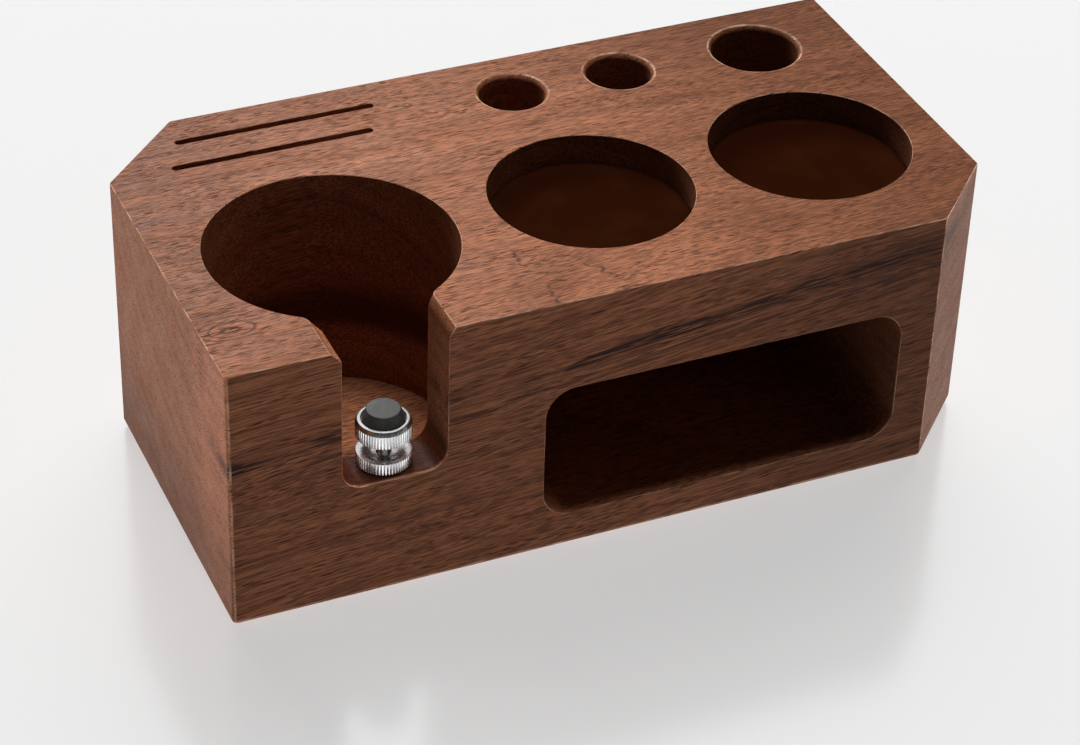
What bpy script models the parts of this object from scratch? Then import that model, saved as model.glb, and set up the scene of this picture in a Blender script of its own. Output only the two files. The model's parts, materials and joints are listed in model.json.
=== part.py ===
"""Walnut tamping station: a solid wooden block that holds a portafilter, two tampers and small tools.

The block is the fixed piece. A chromed knurled screw with a rubber pad stands on the shelf in front of the
portafilter well, carries the handle neck, and is locked at its height by a knurled nut.

The model is built from the block's front left bottom corner, and then moved so that the origin is under the
middle of the block, on the surface that it stands on. +X runs along the front and +Y towards the back.
"""

import math

import bmesh
import bpy
from mathutils import Vector

MM = 0.001

# Block
BLOCK_HEIGHT = 85.0 * MM
LEFT_WALL = 11.9 * MM
WELL_TO_TAMPER = 12.8 * MM
TAMPER_TO_TAMPER = 10.2 * MM
RIGHT_WALL = 11.3 * MM
FRONT_WALL = 13.6 * MM
REAR_BAND = 42.2 * MM
FRONT_RIGHT_CHAMFER = 23.0 * MM
REAR_LEFT_CHAMFER = 26.3 * MM
CORNER_RADIUS = 1.3 * MM
BOTTOM_ROUND = 2.0 * MM
EDGE_BREAK = 0.4 * MM

# Portafilter well and the neck opening in front of it
WELL_RADIUS = 36.2 * MM
WELL_FLOOR = 13.5 * MM
NECK_WIDTH = 30.8 * MM
SHELF_HEIGHT = 38.4 * MM
SHELF_FILLET = 6.0 * MM
NECK_CHAMFER_LEFT = 3.2 * MM
NECK_CHAMFER_RIGHT = 2.0 * MM
NECK_CORNER_RADIUS = 3.5 * MM

# Tamper recesses and their liners
TAMPER_RADIUS = 30.05 * MM
TAMPER_DEPTH = 9.2 * MM
LINER_THICKNESS = 1.6 * MM

# Tool holes, by the radius of the bore; the rim is rounded outwards
RIM_ROUND = 1.7 * MM
SMALL_BORE_RADIUS = 9.95 * MM
LARGE_BORE_RADIUS = 13.35 * MM
SMALL_BORE_DEPTH = 40.0 * MM
LARGE_BORE_DEPTH = 42.0 * MM
SMALL_BORE_FROM_BACK = 19.9 * MM
LARGE_BORE_FROM_BACK = 21.9 * MM
LARGE_BORE_OFFSET = 9.9 * MM

# Card slots behind the well
SLOT_WIDTH = 2.5 * MM
SLOT_LENGTH = 61.7 * MM
SLOT_DEPTH = 25.0 * MM
SLOT_FROM_BACK = 12.3 * MM
SLOT_SPACING = 13.1 * MM
SLOT_START = 24.0 * MM
SLOT_STAGGER = 5.1 * MM

# Storage bay in the front face
BAY_TO_WELL = 8.6 * MM
BAY_WIDTH = 112.0 * MM
BAY_FLOOR = 11.4 * MM
BAY_HEIGHT = 44.1 * MM
BAY_CORNER = 9.0 * MM
BAY_TO_BORES = 7.0 * MM

# Rubber feet
FOOT_RADIUS = 8.0 * MM
FOOT_HEIGHT = 3.0 * MM
FOOT_PROUD = 0.8 * MM
FOOT_INSET = 20.0 * MM
FOOT_EDGE = 0.5 * MM

# Adjustable rest
REST_FROM_FRONT = 9.4 * MM
STUD_RADIUS = 1.9 * MM
STUD_SPARE = 18.0 * MM
STUD_TIP = 0.5 * MM
BORE_BELOW_STUD = 5.0 * MM
INSERT_WALL = 0.9 * MM
INSERT_LENGTH = 10.0 * MM
INSERT_SUNK = 0.4 * MM
WASHER_RADIUS = 6.0 * MM
WASHER_THICKNESS = 0.5 * MM
NUT_RADIUS = 7.95 * MM
NUT_HEIGHT = 3.9 * MM
NUT_DISH_RADIUS = 6.7 * MM
NUT_DISH_DEPTH = 1.0 * MM
NUT_HUB_RADIUS = 3.0 * MM
NUT_EDGE = 0.3 * MM
HEAD_GAP = 4.9 * MM
HEAD_RADIUS = 7.95 * MM
HEAD_HEIGHT = 5.6 * MM
HEAD_TOP_RADIUS = 7.2 * MM
HEAD_BAND = 1.3 * MM
HEAD_SOCKET_DEPTH = 2.6 * MM
HEAD_EDGE = 0.3 * MM
PAD_BASE_RADIUS = 6.1 * MM
PAD_TOP_RADIUS = 4.8 * MM
PAD_SEAT_DEPTH = 2.0 * MM
PAD_RISE = 3.1 * MM
PAD_EDGE = 0.4 * MM

# Clearances
SEAT_GAP = 0.3 * MM
THREAD_GAP = 0.3 * MM
OVERCUT = 5.0 * MM

# Worked out from the sizes above
BLOCK_WIDTH = (
    LEFT_WALL + 2 * WELL_RADIUS + WELL_TO_TAMPER + 4 * TAMPER_RADIUS + TAMPER_TO_TAMPER + RIGHT_WALL
)
BLOCK_DEPTH = FRONT_WALL + 2 * WELL_RADIUS + REAR_BAND
ROW_Y = FRONT_WALL + WELL_RADIUS
WELL_X = LEFT_WALL + WELL_RADIUS
TAMPER_LEFT_X = WELL_X + WELL_RADIUS + WELL_TO_TAMPER + TAMPER_RADIUS
TAMPER_RIGHT_X = TAMPER_LEFT_X + 2 * TAMPER_RADIUS + TAMPER_TO_TAMPER
LARGE_BORE_Y = BLOCK_DEPTH - LARGE_BORE_FROM_BACK
SMALL_BORE_Y = BLOCK_DEPTH - SMALL_BORE_FROM_BACK
BAY_LEFT = WELL_X + WELL_RADIUS + BAY_TO_WELL
BAY_DEPTH = LARGE_BORE_Y - LARGE_BORE_RADIUS - RIM_ROUND - BAY_TO_BORES
RECESS_FLOOR = BLOCK_HEIGHT - TAMPER_DEPTH - LINER_THICKNESS - SEAT_GAP

NUT_Z = SHELF_HEIGHT + SEAT_GAP
HEAD_Z = NUT_Z + NUT_HEIGHT + HEAD_GAP
HEAD_TOP_Z = HEAD_Z + HEAD_HEIGHT
PAD_Z = HEAD_TOP_Z - PAD_SEAT_DEPTH + SEAT_GAP
STUD_TOP_Z = HEAD_Z + HEAD_SOCKET_DEPTH - SEAT_GAP
STUD_BOTTOM_Z = SHELF_HEIGHT - STUD_SPARE
INSERT_TOP_Z = SHELF_HEIGHT - INSERT_SUNK
STUD_BORE_RADIUS = STUD_RADIUS + THREAD_GAP
INSERT_RADIUS = STUD_BORE_RADIUS + INSERT_WALL

# Facets of round shapes
WELL_SEGMENTS = 96
BORE_SEGMENTS = 56
REST_SEGMENTS = 48
ROUND_STEPS = 4

ORIGIN = Vector((BLOCK_WIDTH / 2, BLOCK_DEPTH / 2, -FOOT_PROUD))


def clear_scene():
    """Removes every object that the scene starts with."""
    for obj in list(bpy.data.objects):
        bpy.data.objects.remove(obj, do_unlink=True)


def make_material(name, colour, roughness, metallic=0.0):
    """A plain Principled material."""
    material = bpy.data.materials.new(name)
    material.use_nodes = True
    shader = material.node_tree.nodes["Principled BSDF"]
    shader.inputs["Base Color"].default_value = (*colour, 1.0)
    shader.inputs["Roughness"].default_value = roughness
    shader.inputs["Metallic"].default_value = metallic
    material.diffuse_color = (*colour, 1.0)
    return material


def arc(centre, radius, start, end, steps):
    """Points of an arc in the plane, from one angle to another, both ends included."""
    angles = [start + (end - start) * step / steps for step in range(steps + 1)]
    return [(centre[0] + radius * math.cos(a), centre[1] + radius * math.sin(a)) for a in angles]


def circle(radius, segments):
    """Points of a whole circle about the origin, anticlockwise."""
    angles = [2 * math.pi * step / segments for step in range(segments)]
    return [(radius * math.cos(a), radius * math.sin(a)) for a in angles]


def loft(name, rings, at=Vector((0, 0, 0)), ring_closed=False):
    """A closed object through rings of equal length, capped at both ends or joined last to first.

    Its origin is at the point given, in the block's corner frame.
    """
    mesh = bpy.data.meshes.new(name)
    shape = bmesh.new()
    loops = [[shape.verts.new(Vector(point) - at) for point in ring] for ring in rings]
    following = loops[1:] + loops[:1] if ring_closed else loops[1:]
    for lower, upper in zip(loops, following):
        for i, vert in enumerate(lower):
            after = (i + 1) % len(lower)
            shape.faces.new((vert, lower[after], upper[after], upper[i]))
    if not ring_closed:
        shape.faces.new(list(reversed(loops[0])))
        shape.faces.new(loops[-1])
    bmesh.ops.recalc_face_normals(shape, faces=shape.faces)
    shape.to_mesh(mesh)
    shape.free()
    obj = bpy.data.objects.new(name, mesh)
    obj.location = at - ORIGIN
    bpy.context.scene.collection.objects.link(obj)
    return obj


def level(outline, z, centre=(0.0, 0.0)):
    """A flat outline laid at one height about a centre."""
    return [(centre[0] + x, centre[1] + y, z) for x, y in outline]


def turned(name, profile, centre, base, segments=REST_SEGMENTS):
    """A solid of revolution about a vertical axis, from (radius, height) points between its two flat ends."""
    rings = [level(circle(radius, segments), base + z, centre) for radius, z in profile]
    return loft(name, rings, Vector((*centre, base)))


def turned_tube(name, profile, centre, base, segments=REST_SEGMENTS):
    """A solid of revolution with a hole through it, from a closed loop of (radius, height) points."""
    rings = [level(circle(radius, segments), base + z, centre) for radius, z in profile]
    return loft(name, rings, Vector((*centre, base)), ring_closed=True)


def finish(obj, material, sharp_degrees=35):
    """Gives a piece its material and smooth shading between its sharp edges."""
    obj.data.materials.append(material)
    obj.data.shade_smooth()
    obj.data.set_sharp_from_angle(angle=math.radians(sharp_degrees))
    return obj


def cut(obj, cutter):
    """Cuts one object out of another, and hides the cutter."""
    modifier = obj.modifiers.new(cutter.name, "BOOLEAN")
    modifier.operation = "DIFFERENCE"
    modifier.solver = "EXACT"
    modifier.object = cutter
    cutter.hide_render = True
    cutter.display_type = "WIRE"


def block_outline(inset):
    """The block's plan, moved inwards by the inset, with small rounds on its six corners."""
    left, front = inset, inset
    right, back = BLOCK_WIDTH - inset, BLOCK_DEPTH - inset
    diagonal = inset * (2 - math.sqrt(2))
    front_cut = FRONT_RIGHT_CHAMFER - diagonal
    rear_cut = REAR_LEFT_CHAMFER - diagonal
    corners = [
        (left, front),
        (right - front_cut, front),
        (right, front + front_cut),
        (right, back),
        (left + rear_cut, back),
        (left, back - rear_cut),
    ]
    points = []
    for i, corner in enumerate(corners):
        here = Vector(corner)
        before = (Vector(corners[i - 1]) - here).normalized()
        after = (Vector(corners[(i + 1) % len(corners)]) - here).normalized()
        half = before.angle(after) / 2
        centre = here + (before + after).normalized() * CORNER_RADIUS / math.sin(half)
        foot = here + before * CORNER_RADIUS / math.tan(half) - centre
        start = math.atan2(foot.y, foot.x)
        points += arc(centre, CORNER_RADIUS, start, start + math.pi - 2 * half, ROUND_STEPS)
    return points


def block_body():
    """The uncut block: rounded under, with its top edge broken."""
    rings = []
    for step in range(ROUND_STEPS + 1):
        angle = math.pi / 2 * step / ROUND_STEPS
        inset = BOTTOM_ROUND * (1 - math.sin(angle))
        rings.append(level(block_outline(inset), BOTTOM_ROUND * (1 - math.cos(angle))))
    rings.append(level(block_outline(0), BLOCK_HEIGHT - EDGE_BREAK))
    rings.append(level(block_outline(EDGE_BREAK), BLOCK_HEIGHT))
    return loft("wood_block", rings)


def well_cutter():
    """The round well for the portafilter."""
    height = BLOCK_HEIGHT + OVERCUT - WELL_FLOOR
    profile = [(WELL_RADIUS, 0), (WELL_RADIUS, height)]
    return turned("cut_well", profile, (WELL_X, ROW_Y), WELL_FLOOR, WELL_SEGMENTS)


def neck_side(half_width, side):
    """One wall of the neck opening in plan: straight from the front, then rounded into the well."""
    wall = WELL_X + side * half_width
    centre_x = wall + side * NECK_CORNER_RADIUS
    reach = WELL_RADIUS + NECK_CORNER_RADIUS
    centre_y = ROW_Y - math.sqrt(reach**2 - (centre_x - WELL_X) ** 2)
    start = math.pi if side > 0 else 0.0
    end = math.atan2(ROW_Y - centre_y, WELL_X - centre_x)
    corner = arc((centre_x, centre_y), NECK_CORNER_RADIUS, start, end, ROUND_STEPS)
    return [(wall, -OVERCUT)] + corner


def neck_outline(left, right):
    """The neck opening in plan, from the widths on the left and on the right of the well's middle."""
    return neck_side(right, 1) + [(WELL_X, ROW_Y)] + list(reversed(neck_side(left, -1)))


def neck_cutter():
    """The neck opening: a filleted shelf below, straight walls, and chamfers along its top edges."""
    half = NECK_WIDTH / 2
    rings = []
    for step in range(ROUND_STEPS + 1):
        angle = math.pi / 2 * step / ROUND_STEPS
        width = half - SHELF_FILLET * (1 - math.sin(angle))
        z = SHELF_HEIGHT + SHELF_FILLET * (1 - math.cos(angle))
        rings.append(level(neck_outline(width, width), z))
    chamfers = ((0.0, 0.0), (NECK_CHAMFER_LEFT, NECK_CHAMFER_RIGHT))
    deepest = max(NECK_CHAMFER_LEFT, NECK_CHAMFER_RIGHT)
    for (left, right), z in zip(chamfers, (BLOCK_HEIGHT - deepest, BLOCK_HEIGHT)):
        rings.append(level(neck_outline(half + left, half + right), z))
    flared = neck_outline(half + NECK_CHAMFER_LEFT, half + NECK_CHAMFER_RIGHT)
    rings.append(level(flared, BLOCK_HEIGHT + OVERCUT))
    return loft("cut_neck", rings)


def tamper_cutter(name, x):
    """A shallow round recess for a tamper, deep enough for its liner."""
    height = BLOCK_HEIGHT + OVERCUT - RECESS_FLOOR
    profile = [(TAMPER_RADIUS, 0), (TAMPER_RADIUS, height)]
    return turned(name, profile, (x, ROW_Y), RECESS_FLOOR, WELL_SEGMENTS)


def bore_cutter(name, centre, radius, depth):
    """A tool hole with a rounded rim."""
    profile = [(radius, 0)]
    for dx, dz in arc((RIM_ROUND, depth - RIM_ROUND), RIM_ROUND, math.pi, math.pi / 2, ROUND_STEPS):
        profile.append((radius + dx, dz))
    profile.append((radius + RIM_ROUND, depth + OVERCUT))
    return turned(name, profile, centre, BLOCK_HEIGHT - depth, BORE_SEGMENTS)


def slot_cutter(name, start, y):
    """A narrow slot with round ends."""
    radius = SLOT_WIDTH / 2
    right_end = arc((start + SLOT_LENGTH - radius, y), radius, -math.pi / 2, math.pi / 2, 2 * ROUND_STEPS)
    left_end = arc((start + radius, y), radius, math.pi / 2, 3 * math.pi / 2, 2 * ROUND_STEPS)
    outline = right_end + left_end
    return loft(name, [level(outline, BLOCK_HEIGHT - SLOT_DEPTH), level(outline, BLOCK_HEIGHT + OVERCUT)])


def bay_outline(grow):
    """The bay's opening as seen from the front, grown by the amount given."""
    low, high = BAY_FLOOR + BAY_CORNER, BAY_FLOOR + BAY_HEIGHT - BAY_CORNER
    near, far = BAY_LEFT + BAY_CORNER, BAY_LEFT + BAY_WIDTH - BAY_CORNER
    points = []
    for quarter, centre in enumerate(((far, high), (near, high), (near, low), (far, low))):
        start = quarter * math.pi / 2
        points += arc(centre, BAY_CORNER + grow, start, start + math.pi / 2, 2 * ROUND_STEPS)
    return points


def bay_cutter():
    """The storage bay, with a broken edge round its mouth."""
    mouth = ((BAY_DEPTH, 0.0), (EDGE_BREAK, 0.0), (0.0, EDGE_BREAK), (-OVERCUT, EDGE_BREAK))
    return loft("cut_bay", [[(x, y, z) for x, z in bay_outline(grow)] for y, grow in mouth])


def foot_centres():
    """Where the four feet are, each with its name."""
    left, right = FOOT_INSET, BLOCK_WIDTH - FOOT_INSET
    front, rear = FOOT_INSET, BLOCK_DEPTH - FOOT_INSET
    front_right = (right - FRONT_RIGHT_CHAMFER / 2, front)
    rear_left = (left + REAR_LEFT_CHAMFER / 2, rear)
    return {
        "foot_front_left": (left, front),
        "foot_front_right": front_right,
        "foot_rear_left": rear_left,
        "foot_rear_right": (right, rear),
    }


def foot_cutter(name, centre):
    """The pocket that a foot is glued into."""
    top = FOOT_HEIGHT - FOOT_PROUD + SEAT_GAP
    profile = [(FOOT_RADIUS + SEAT_GAP, 0), (FOOT_RADIUS + SEAT_GAP, OVERCUT + top)]
    return turned(name, profile, centre, -OVERCUT)


def rest_bore_cutter():
    """The stepped hole for the threaded insert, and for the stud below it."""
    bottom = STUD_BOTTOM_Z - BORE_BELOW_STUD
    step = INSERT_TOP_Z - INSERT_LENGTH - SEAT_GAP
    profile = [
        (STUD_BORE_RADIUS, bottom),
        (STUD_BORE_RADIUS, step),
        (INSERT_RADIUS + SEAT_GAP, step),
        (INSERT_RADIUS + SEAT_GAP, SHELF_HEIGHT + OVERCUT),
    ]
    return turned("cut_rest_bore", profile, (WELL_X, REST_FROM_FRONT), 0.0)


def build_block():
    """The walnut block with all its cuts."""
    block = block_body()
    cut(block, well_cutter())
    cut(block, neck_cutter())
    cut(block, tamper_cutter("cut_tamper_left", TAMPER_LEFT_X))
    cut(block, tamper_cutter("cut_tamper_right", TAMPER_RIGHT_X))
    middle_x = (TAMPER_LEFT_X + TAMPER_RIGHT_X) / 2
    for name, x in (("cut_bore_left", TAMPER_LEFT_X), ("cut_bore_middle", middle_x)):
        cut(block, bore_cutter(name, (x, SMALL_BORE_Y), SMALL_BORE_RADIUS, SMALL_BORE_DEPTH))
    right_centre = (TAMPER_RIGHT_X + LARGE_BORE_OFFSET, LARGE_BORE_Y)
    cut(block, bore_cutter("cut_bore_right", right_centre, LARGE_BORE_RADIUS, LARGE_BORE_DEPTH))
    rear_y = BLOCK_DEPTH - SLOT_FROM_BACK
    cut(block, slot_cutter("cut_slot_rear", SLOT_START, rear_y))
    cut(block, slot_cutter("cut_slot_front", SLOT_START - SLOT_STAGGER, rear_y - SLOT_SPACING))
    cut(block, bay_cutter())
    cut(block, rest_bore_cutter())
    for name, centre in foot_centres().items():
        cut(block, foot_cutter("cut_" + name, centre))
    finish(block, make_material("walnut_oiled", (0.23, 0.115, 0.07), 0.42))


def build_liners():
    """A thin liner on the floor of each tamper recess."""
    material = make_material("liner_dark_brown", (0.10, 0.055, 0.035), 0.75)
    radius = TAMPER_RADIUS - SEAT_GAP
    for name, x in (("tamper_liner_left", TAMPER_LEFT_X), ("tamper_liner_right", TAMPER_RIGHT_X)):
        profile = [(radius, 0), (radius, LINER_THICKNESS)]
        finish(turned(name, profile, (x, ROW_Y), RECESS_FLOOR + SEAT_GAP, WELL_SEGMENTS), material)


def build_feet():
    """Four round rubber feet, each standing a little proud of the block."""
    material = make_material("foot_rubber", (0.03, 0.03, 0.03), 0.8)
    profile = [(FOOT_RADIUS - FOOT_EDGE, 0), (FOOT_RADIUS, FOOT_EDGE), (FOOT_RADIUS, FOOT_HEIGHT)]
    for name, centre in foot_centres().items():
        finish(turned(name, profile, centre, -FOOT_PROUD), material)


def build_insert(centre):
    """The brass threaded insert, pressed into the shelf."""
    profile = [
        (STUD_BORE_RADIUS, 0),
        (INSERT_RADIUS, 0),
        (INSERT_RADIUS, INSERT_LENGTH),
        (STUD_BORE_RADIUS, INSERT_LENGTH),
    ]
    insert = turned_tube("threaded_insert", profile, centre, INSERT_TOP_Z - INSERT_LENGTH)
    finish(insert, make_material("insert_brass", (0.7, 0.5, 0.22), 0.35, 1.0))


def build_lock_nut(centre, chrome):
    """The knurled nut with its dished top, and the washer held in a recess under it."""
    washer = [
        (STUD_BORE_RADIUS, 0),
        (WASHER_RADIUS, 0),
        (WASHER_RADIUS, WASHER_THICKNESS),
        (STUD_BORE_RADIUS, WASHER_THICKNESS),
    ]
    steel = make_material("washer_steel", (0.6, 0.6, 0.6), 0.3, 1.0)
    finish(turned_tube("lock_washer", washer, centre, NUT_Z), steel)
    recess_radius = WASHER_RADIUS + SEAT_GAP
    recess_depth = WASHER_THICKNESS + SEAT_GAP
    nut = [
        (STUD_BORE_RADIUS, recess_depth),
        (recess_radius, recess_depth),
        (recess_radius, 0),
        (NUT_RADIUS - NUT_EDGE, 0),
        (NUT_RADIUS, NUT_EDGE),
        (NUT_RADIUS, NUT_HEIGHT - NUT_EDGE),
        (NUT_RADIUS - NUT_EDGE, NUT_HEIGHT),
        (NUT_DISH_RADIUS, NUT_HEIGHT),
        (NUT_HUB_RADIUS, NUT_HEIGHT - NUT_DISH_DEPTH),
        (STUD_BORE_RADIUS, NUT_HEIGHT - NUT_DISH_DEPTH),
    ]
    finish(turned_tube("lock_nut", nut, centre, NUT_Z), chrome)


def build_support(centre, chrome):
    """The knurled head with its stud, and the rubber pad that the portafilter rests on."""
    pad_seat = PAD_BASE_RADIUS + SEAT_GAP
    socket = STUD_RADIUS + SEAT_GAP
    head = [
        (HEAD_RADIUS - HEAD_EDGE, 0),
        (HEAD_RADIUS, HEAD_EDGE),
        (HEAD_RADIUS, HEAD_HEIGHT - HEAD_BAND),
        (HEAD_TOP_RADIUS, HEAD_HEIGHT),
        (pad_seat, HEAD_HEIGHT),
        (pad_seat, HEAD_HEIGHT - PAD_SEAT_DEPTH),
    ]
    support_head = turned("support_head", head, centre, HEAD_Z)
    socket_profile = [(socket, -OVERCUT), (socket, HEAD_SOCKET_DEPTH)]
    cut(support_head, turned("cut_head_socket", socket_profile, centre, HEAD_Z))
    finish(support_head, chrome)

    stud_length = STUD_TOP_Z - STUD_BOTTOM_Z
    stud = [(STUD_RADIUS - STUD_TIP, 0), (STUD_RADIUS, STUD_TIP), (STUD_RADIUS, stud_length)]
    stud_material = make_material("stud_steel", (0.62, 0.62, 0.62), 0.28, 1.0)
    finish(turned("support_stud", stud, centre, STUD_BOTTOM_Z), stud_material)

    lip = PAD_SEAT_DEPTH - SEAT_GAP
    top = lip + PAD_RISE
    pad = [
        (PAD_BASE_RADIUS, 0),
        (PAD_BASE_RADIUS, lip),
        (PAD_TOP_RADIUS, top - PAD_EDGE),
        (PAD_TOP_RADIUS - PAD_EDGE, top),
    ]
    rubber = make_material("pad_rubber", (0.10, 0.10, 0.10), 0.7)
    finish(turned("support_pad", pad, centre, PAD_Z), rubber)


def build_rest():
    """The whole adjustable rest on the shelf."""
    centre = (WELL_X, REST_FROM_FRONT)
    chrome = make_material("chrome_polished", (0.8, 0.8, 0.8), 0.12, 1.0)
    build_insert(centre)
    build_lock_nut(centre, chrome)
    build_support(centre, chrome)


clear_scene()
build_block()
build_liners()
build_feet()
build_rest()
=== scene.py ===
"""The walnut tamping station, dressed for its picture.

A solid block carries two lined tamper recesses, a portafilter well, tool holes, card slots and a bay.
In the well's neck stands a chromed knurled screw with a rubber pad, held at its height by a knurled nut.
"""

import json
import logging
import math
from collections.abc import Sequence
from dataclasses import dataclass, field
from enum import Enum
from functools import reduce

import bmesh
import bpy
from mathutils import Matrix, Vector


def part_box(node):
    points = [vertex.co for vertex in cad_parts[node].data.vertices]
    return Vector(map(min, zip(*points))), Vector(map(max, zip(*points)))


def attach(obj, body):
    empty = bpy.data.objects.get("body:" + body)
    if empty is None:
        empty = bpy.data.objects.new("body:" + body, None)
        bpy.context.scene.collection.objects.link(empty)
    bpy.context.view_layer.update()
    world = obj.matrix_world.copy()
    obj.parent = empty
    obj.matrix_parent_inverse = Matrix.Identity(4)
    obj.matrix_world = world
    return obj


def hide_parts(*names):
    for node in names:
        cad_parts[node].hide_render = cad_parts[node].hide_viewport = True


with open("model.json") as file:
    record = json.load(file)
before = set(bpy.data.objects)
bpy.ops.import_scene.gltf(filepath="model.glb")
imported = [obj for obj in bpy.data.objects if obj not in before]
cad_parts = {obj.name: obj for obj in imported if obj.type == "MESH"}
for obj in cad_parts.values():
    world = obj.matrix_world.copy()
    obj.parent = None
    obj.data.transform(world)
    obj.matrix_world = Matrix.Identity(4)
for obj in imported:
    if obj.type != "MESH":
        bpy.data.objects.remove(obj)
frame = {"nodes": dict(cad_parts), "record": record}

MM = 0.001

Point2 = tuple[float, float]
Corner = tuple[float, float, float]
Ring = list[Vector]
Colour = tuple[float, float, float]
Ramp = tuple[float, float, Point2]
Socket = bpy.types.NodeSocket
Material = bpy.types.Material
Piece = bpy.types.Object
Feed = float | Sequence[float] | Socket

FALL = (1.0, 0.0)
FOOT_NAMES = ("foot_front_left", "foot_front_right", "foot_rear_left", "foot_rear_right")
BOARD = ("studio_board",)
METAL = ("knurled_head", "knurled_nut", "threaded_stud")

log = logging.getLogger("tamping_station")


# Shapes


def arc(centre: Point2, radius: float, start: float, end: float, steps: int) -> list[Point2]:
    """Points of an arc in the plane, both ends included.

    Args:
        centre: Middle of the arc.
        radius: Its radius.
        start: Angle of the first point, in radians.
        end: Angle of the last point, in radians.
        steps: Number of straight pieces.

    Returns:
        The points in order.
    """
    angles = [start + (end - start) * step / steps for step in range(steps + 1)]
    return [(centre[0] + radius * math.cos(a), centre[1] + radius * math.sin(a)) for a in angles]


def rounded(corners: Sequence[Corner], steps: int = 6, closed: bool = True) -> list[Point2]:
    """A path whose corners are each rounded by their own radius.

    Args:
        corners: Corner points as (x, y, radius); a radius of 0 keeps the corner sharp.
        steps: Straight pieces in each round.
        closed: Whether the last corner joins the first.

    Returns:
        The path's points in order.
    """
    points: list[Point2] = []
    count = len(corners)
    for i, (x, y, radius) in enumerate(corners):
        at_end = not closed and i in (0, count - 1)
        if radius == 0 or at_end:
            points.append((x, y))
            continue
        here = Vector((x, y))
        before = (Vector(corners[i - 1][:2]) - here).normalized()
        after = (Vector(corners[(i + 1) % count][:2]) - here).normalized()
        half = before.angle(after) / 2
        centre = here + (before + after).normalized() * radius / math.sin(half)
        foot = here + before * radius / math.tan(half) - centre
        start = math.atan2(foot.y, foot.x)
        sweep = math.copysign(math.pi - 2 * half, after.cross(before))
        points += arc((centre.x, centre.y), radius, start, start + sweep, steps)
    return points


def level(outline: Sequence[Point2], z: float, centre: Point2 = (0.0, 0.0)) -> Ring:
    """Lays a flat outline at one height about a centre.

    Args:
        outline: Points of the outline.
        z: Height of the ring.
        centre: Where the outline's origin goes.

    Returns:
        The ring's points.
    """
    return [Vector((centre[0] + x, centre[1] + y, z)) for x, y in outline]


def loft(
    name: str, rings: Sequence[Ring], ring_closed: bool = False, merge: bool = False
) -> Piece:
    """A closed mesh through rings of equal length, capped at its ends or joined last to first.

    Args:
        name: Name of the object.
        rings: Rings of points, in order.
        ring_closed: Whether the last ring joins the first, as in a tube that is turned round an axis.
        merge: Whether points in one place, and faces in one plane, become one.

    Returns:
        The new object, with its place in its mesh.
    """
    shape = bmesh.new()
    loops = [[shape.verts.new(point) for point in ring] for ring in rings]
    following = loops[1:] + loops[:1] if ring_closed else loops[1:]
    for lower, upper in zip(loops, following):
        for i, vert in enumerate(lower):
            after = (i + 1) % len(lower)
            shape.faces.new((vert, lower[after], upper[after], upper[i]))
    if not ring_closed:
        shape.faces.new(list(reversed(loops[0])))
        shape.faces.new(loops[-1])
    if merge:
        bmesh.ops.remove_doubles(shape, verts=shape.verts, dist=1e-7)
        flat = math.radians(0.05)
        bmesh.ops.dissolve_limit(shape, angle_limit=flat, verts=shape.verts, edges=shape.edges)
    bmesh.ops.recalc_face_normals(shape, faces=shape.faces)
    mesh = bpy.data.meshes.new(name)
    shape.to_mesh(mesh)
    shape.free()
    obj = bpy.data.objects.new(name, mesh)
    bpy.context.scene.collection.objects.link(obj)
    return obj


@dataclass(frozen=True)
class Knurl:
    """Straight grooves round a rim: how many, how deep, and the share of each pitch that is groove."""

    teeth: int = 56
    depth: float = 0.42 * MM
    groove: float = 0.62
    shoulder: Point2 = (0.06, 0.12)

    def cuts(self) -> list[Point2]:
        """Works out the points round the rim.

        Returns:
            Each point as (angle in radians, share of the full depth).
        """
        pitch = 2 * math.pi / self.teeth
        land = (1 - self.groove) / 2
        start, end = 0.5 - land, 0.5 + land
        width, cut = self.shoulder
        steps = ((0.0, 1.0), (start - width, cut), (start, 0.0), (end, 0.0), (end + width, cut))
        return [((tooth + share) * pitch, cut) for tooth in range(self.teeth) for share, cut in steps]


def around(centre: Point2, radius: float, angle: float, z: float) -> Vector:
    """A point at one height, so far out from a vertical axis and so far round it."""
    return Vector((centre[0] + radius * math.cos(angle), centre[1] + radius * math.sin(angle), z))


def turned(
    name: str,
    profile: Sequence[Sequence[float]],
    centre: Point2,
    base: float,
    facets: int | Knurl,
    hollow: bool = False,
) -> Piece:
    """A solid of revolution about a vertical axis, plain or with grooves cut into part of its profile.

    Args:
        name: Name of the object.
        profile: (radius, height) points, and after them the share of the groove that is cut there.
        centre: Where the axis stands.
        base: Height that the profile's heights start from.
        facets: Facets round the axis, or the grooves.
        hollow: Whether the profile is a closed loop, which leaves a hole along the axis.

    Returns:
        The new object.
    """
    if isinstance(facets, Knurl):
        depth, cuts = facets.depth, facets.cuts()
    else:
        depth, cuts = 0.0, [(2 * math.pi * facet / facets, 0.0) for facet in range(facets)]
    rings = []
    for radius, height, *share in profile:
        deep, z = depth * sum(share), base + height
        rings.append([around(centre, radius - deep * cut, angle, z) for angle, cut in cuts])
    return loft(name, rings, ring_closed=hollow)


def cut(body: Piece, cutters: Sequence[Piece]) -> None:
    """Cuts each cutter out of a body, for good, and removes the cutters.

    Args:
        body: The object that is cut.
        cutters: Closed objects to take away from it.
    """
    for cutter in cutters:
        modifier = body.modifiers.new(cutter.name, "BOOLEAN")
        modifier.operation = "DIFFERENCE"
        modifier.solver = "EXACT"
        modifier.object = cutter
    graph = bpy.context.evaluated_depsgraph_get()
    result = bpy.data.meshes.new_from_object(body.evaluated_get(graph))
    body.modifiers.clear()
    body.data = result
    for cutter in cutters:
        bpy.data.objects.remove(cutter, do_unlink=True)


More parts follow.
